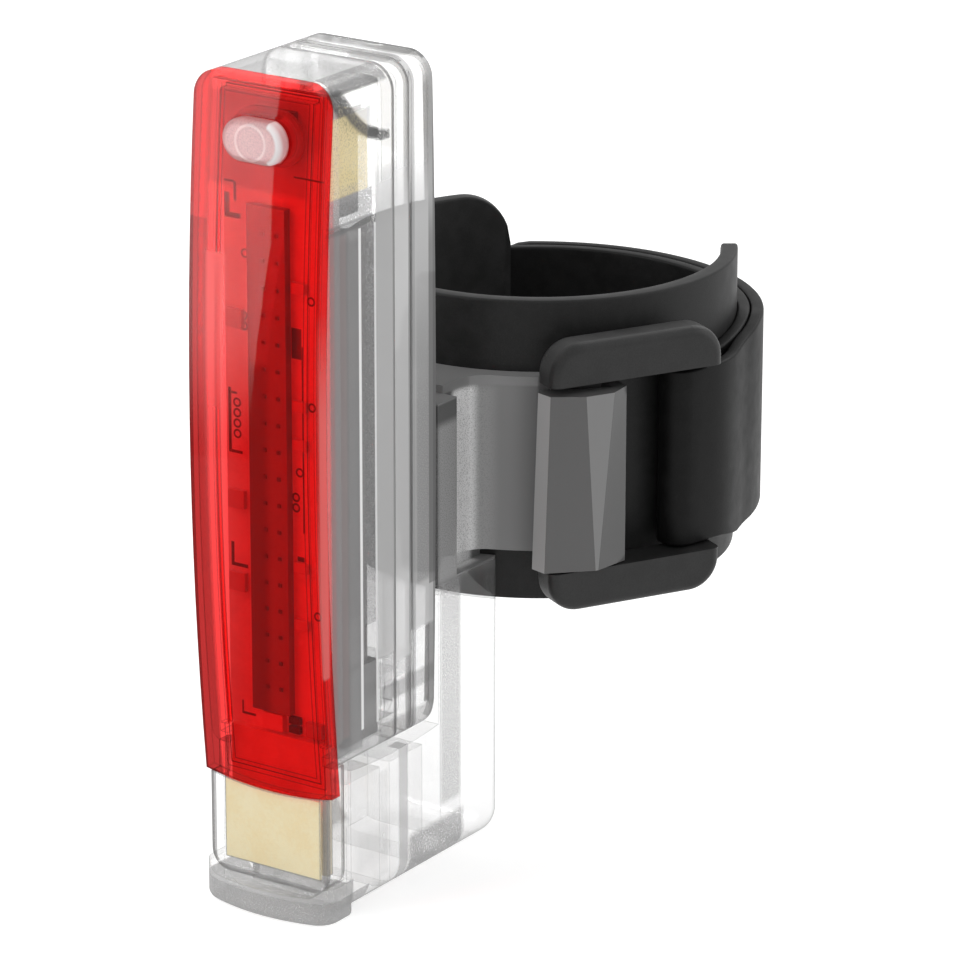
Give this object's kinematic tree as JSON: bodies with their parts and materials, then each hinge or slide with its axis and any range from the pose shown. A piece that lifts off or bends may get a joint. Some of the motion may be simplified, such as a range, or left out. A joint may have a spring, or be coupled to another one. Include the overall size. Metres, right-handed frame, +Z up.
{
  "type": "bicycle light",
  "caption": "Slim rear bike light with a bowed red lens and a push button, slid onto a clear bracket that a rubber strap and a hooked ring hold round a seat post.",
  "frame": {"origin": "on the seat post's axis, at the middle of the rubber liner's height", "axes": "+Z up along the post, the light shines along -Y, +X to the right seen from the front"},
  "size_m": [0.0404, 0.0617, 0.072],
  "materials": {
    "red_lens": "clear red polycarbonate, polished",
    "clear_shell": "clear polycarbonate, polished",
    "clear_mount": "clear polycarbonate with frosted patches",
    "clear_button": "clear silicone, satin",
    "black_rubber": "black rubber, satin",
    "black_plastic": "black nylon, satin",
    "board_white": "white solder mask",
    "board_green": "green solder mask",
    "led_carrier": "coated strip",
    "led_face": "moulded package",
    "chip_black": "moulded package",
    "pouch_foil": "foil pouch",
    "grey_plastic": "moulded, matt",
    "yellow_tape": "polyimide tape",
    "nickel_strip": "nickel plated",
    "gold_plate": "pale gold, satin",
    "gold_contact": "gold plated"
  },
  "bodies": {
    "mount": {"mount_cradle": "clear_mount", "post_liner": "black_rubber", "strap": "black_rubber"},
    "ring": {"buckle_ring": "black_plastic"},
    "button": {"button": "clear_button", "button_light_guide": "clear_shell"},
    "light": {"front_lens": "red_lens", "light_housing": "clear_shell", "rear_frame": "clear_shell", "back_cover": "clear_shell", "push_switch": "chip_black", "circuit_board": "board_white", "led_strip": "led_carrier", "led_chips": "led_face", "board_components": "chip_black", "battery_cell": "pouch_foil", "cell_tray": "grey_plastic", "protection_board": "yellow_tape", "cell_tabs": "nickel_strip", "plug_body": "clear_shell", "gold_plate": "gold_plate", "contact_board": "board_green", "plug_contacts": "gold_contact"}
  },
  "joints": [
    {"name": "light_lift", "type": "slide", "parent": "mount", "child": "light", "axis": [0, 0, 1], "range_m": [0, 0.018]},
    {"name": "button_press", "type": "slide", "parent": "light", "child": "button", "axis": [0, 1, 0], "range_m": [0, 0.0004], "stiffness_N_per_m": 4000, "springref_m": -0.0002},
    {"name": "ring_release", "type": "hinge", "parent": "mount", "child": "ring", "pos_m": [0, 0, 0], "axis": [0, 0, 1], "range_deg": [-14.5, 0], "stiffness_Nm_per_rad": 0.36, "springref_deg": 11.46, "deforming": ["strap"]}
  ]
}
